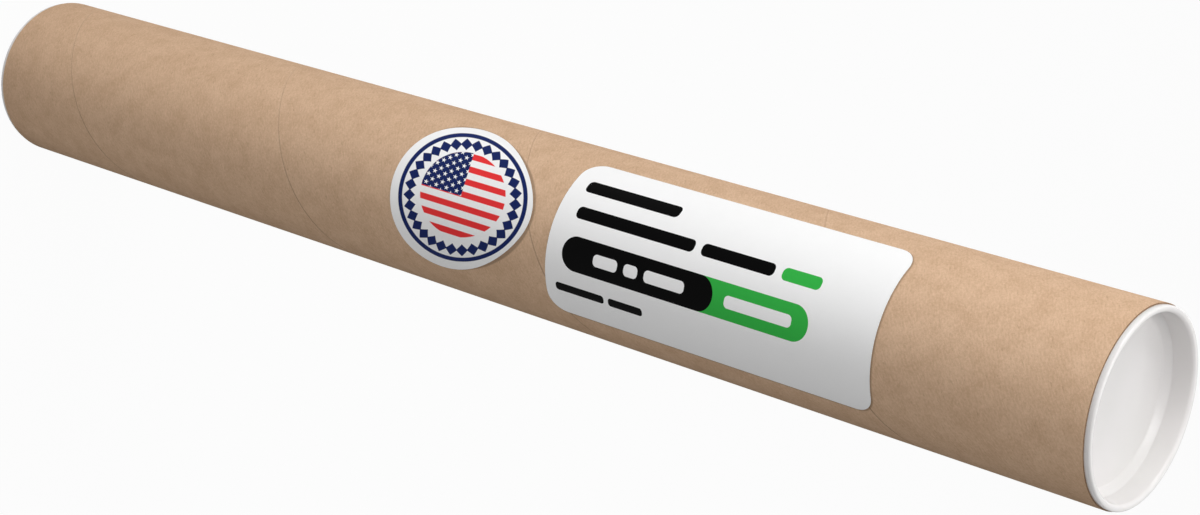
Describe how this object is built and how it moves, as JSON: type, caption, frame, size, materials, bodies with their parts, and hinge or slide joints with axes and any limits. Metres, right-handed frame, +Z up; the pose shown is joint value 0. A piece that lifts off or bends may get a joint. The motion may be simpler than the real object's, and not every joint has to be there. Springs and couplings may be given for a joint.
{
  "type": "mailing tube",
  "caption": "Spiral-wound cardboard mailing tube, standing on end, with a push-in white plastic cap in each end, a rectangular paper label and an oval paper sticker.",
  "frame": {"origin": "under the middle of the bottom cap's lip, on the surface that the tube stands on", "axes": "+Z up along the tube to its top cap; -Y out through the front, which holds the label and the sticker"},
  "size_m": [0.0802, 0.0805, 0.6529],
  "materials": {
    "kraft_board": "matte brown kraft paper, spiral wound",
    "white_plastic": "satin moulded plastic, white",
    "white_paper": "smooth printed label paper"
  },
  "bodies": {
    "tube": {"tube": "kraft_board", "label": "white_paper", "sticker": "white_paper"},
    "top_cap": {"top_cap": "white_plastic"},
    "bottom_cap": {"bottom_cap": "white_plastic"}
  },
  "joints": [
    {"name": "top_cap_pull", "type": "slide", "parent": "tube", "child": "top_cap", "axis": [0, 0, 1], "range_m": [0, 0.09]},
    {"name": "bottom_cap_pull", "type": "slide", "parent": "tube", "child": "bottom_cap", "axis": [0, 0, -1], "range_m": [0, 0.09]}
  ]
}
